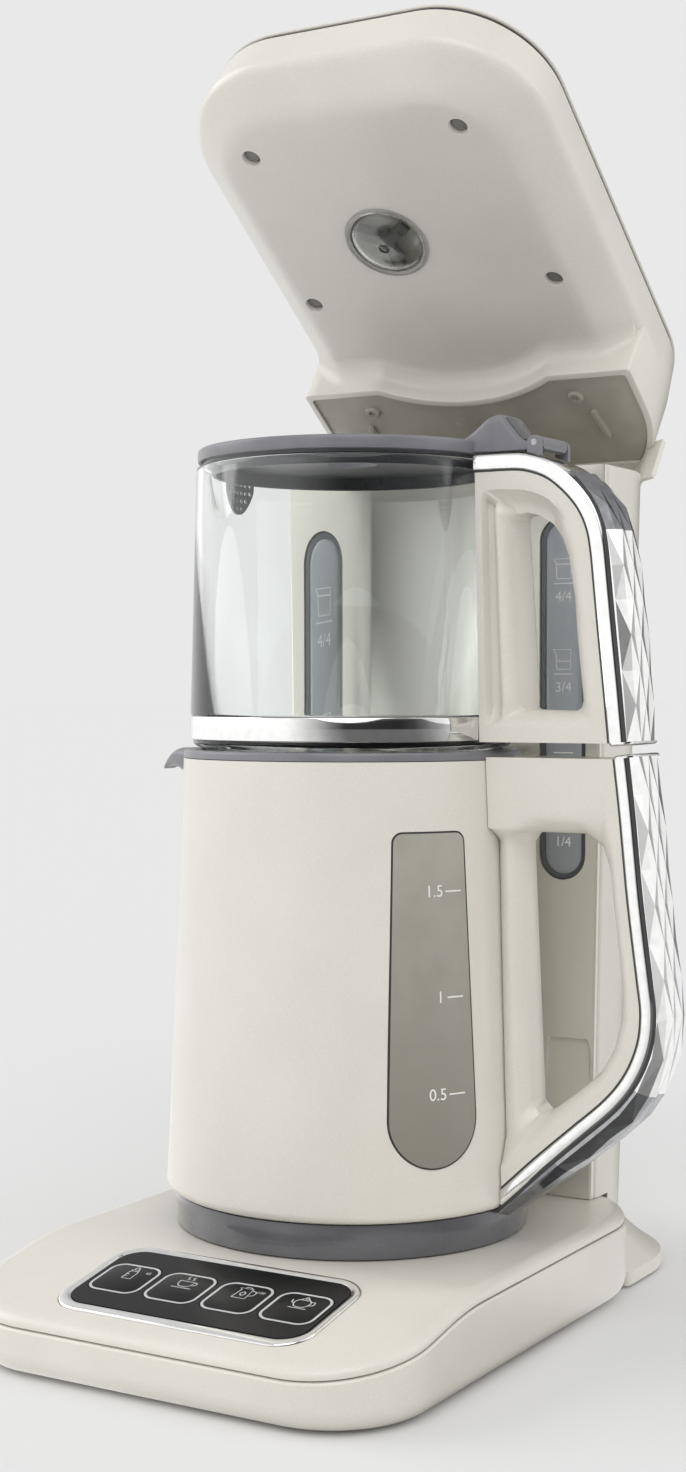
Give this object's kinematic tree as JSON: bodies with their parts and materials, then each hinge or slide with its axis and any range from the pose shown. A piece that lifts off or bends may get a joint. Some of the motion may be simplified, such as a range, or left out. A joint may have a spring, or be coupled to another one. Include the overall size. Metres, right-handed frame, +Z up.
{
  "type": "automatic tea maker",
  "caption": "Automatic tea maker: a kettle with a glass teapot on top, on a base with a sloped key panel, in front of a water tower with a raised brewing head.",
  "frame": {"origin": "bottom centre of the bounding box as pictured, with the brewing head raised", "axes": "+Z up, -Y is the front with the key panel, +X is the side of both handles"},
  "size_m": [0.2324, 0.3231, 0.5096],
  "materials": {
    "cream": "cream pearl, satin",
    "cream_inner": "unpainted inner plastic",
    "grey": "warm grey plastic, satin",
    "smoke": "smoked transparent plastic, seen as solid",
    "chrome": "bright plated plastic",
    "steel": "plain stainless steel",
    "black_glass": "glossy black touch panel",
    "rubber": "matt black",
    "board": "green circuit board",
    "clear": "clear plastic",
    "pot_glass": "clear borosilicate glass",
    "hose": "silicone hose"
  },
  "bodies": {
    "base": {"base_tub": "cream", "base_top_shell": "cream", "foot_front_left": "rubber", "foot_front_right": "rubber", "foot_rear_left": "rubber", "foot_rear_right": "rubber", "panel_bezel": "chrome", "panel_plate": "black_glass", "control_board": "board", "base_connector": "grey", "tower_shell": "cream", "tower_front": "cream", "level_window_left": "smoke", "level_window_right": "smoke", "water_tank": "clear", "tower_top_plate": "cream_inner", "hinge_pin_left": "steel", "hinge_pin_right": "steel", "water_pump": "grey", "riser_hose": "hose", "power_board": "board", "cord_gland": "rubber", "speaker": "rubber"},
    "head": {"head_shell": "cream", "head_cover": "cream", "head_seam_plate": "grey", "head_rear_plate": "smoke", "nozzle_dome": "clear", "nozzle_spreader": "grey", "head_hose": "hose", "head_screw_front_left": "grey", "head_screw_front_right": "grey", "head_screw_rear_left": "grey", "head_screw_rear_right": "grey"},
    "kettle": {"kettle_shell": "cream", "level_window_kettle": "smoke", "kettle_foot_ring": "grey", "kettle_rim_ring": "grey", "heater_plate": "steel", "heating_element": "steel", "kettle_connector": "grey", "kettle_handle_frame": "cream", "kettle_handle_band": "chrome", "kettle_handle_grip": "chrome"},
    "teapot": {"teapot_glass": "pot_glass", "teapot_band": "chrome", "teapot_base": "steel", "teapot_handle_frame": "cream", "teapot_handle_band": "chrome", "teapot_handle_grip": "chrome", "lid_pin": "steel"},
    "teapot_lid": {"teapot_lid": "grey", "spout_strainer": "grey"},
    "key_1": {"key_bottle": "black_glass"},
    "key_2": {"key_coffee": "black_glass"},
    "key_3": {"key_kettle": "black_glass"},
    "key_4": {"key_tea": "black_glass"}
  },
  "joints": [
    {"name": "head_hinge", "type": "hinge", "parent": "base", "child": "head", "pos_m": [-0.0233, 0.12231, 0.327], "axis": [-1, 0, 0], "range_deg": [-36.5, 0]},
    {"name": "kettle_lift", "type": "slide", "parent": "base", "child": "kettle", "axis": [0, -0.8192, 0.5736], "range_m": [0, 0.28]},
    {"name": "teapot_lift", "type": "slide", "parent": "kettle", "child": "teapot", "axis": [0, -0.8192, 0.5736], "range_m": [0, 0.26]},
    {"name": "teapot_lid_hinge", "type": "hinge", "parent": "teapot", "child": "teapot_lid", "pos_m": [0.0627, -0.01869, 0.338], "axis": [0, 1, 0], "range_deg": [0, 38]},
    {"name": "key_1_press", "type": "slide", "parent": "base", "child": "key_1", "axis": [0, 0.184, -0.9829], "range_m": [0, 0.0008], "stiffness_N_per_m": 600, "springref_m": -0.0003},
    {"name": "key_2_press", "type": "slide", "parent": "base", "child": "key_2", "axis": [0, 0.184, -0.9829], "range_m": [0, 0.0008], "stiffness_N_per_m": 600, "springref_m": -0.0003},
    {"name": "key_3_press", "type": "slide", "parent": "base", "child": "key_3", "axis": [0, 0.184, -0.9829], "range_m": [0, 0.0008], "stiffness_N_per_m": 600, "springref_m": -0.0003},
    {"name": "key_4_press", "type": "slide", "parent": "base", "child": "key_4", "axis": [0, 0.184, -0.9829], "range_m": [0, 0.0008], "stiffness_N_per_m": 600, "springref_m": -0.0003}
  ]
}
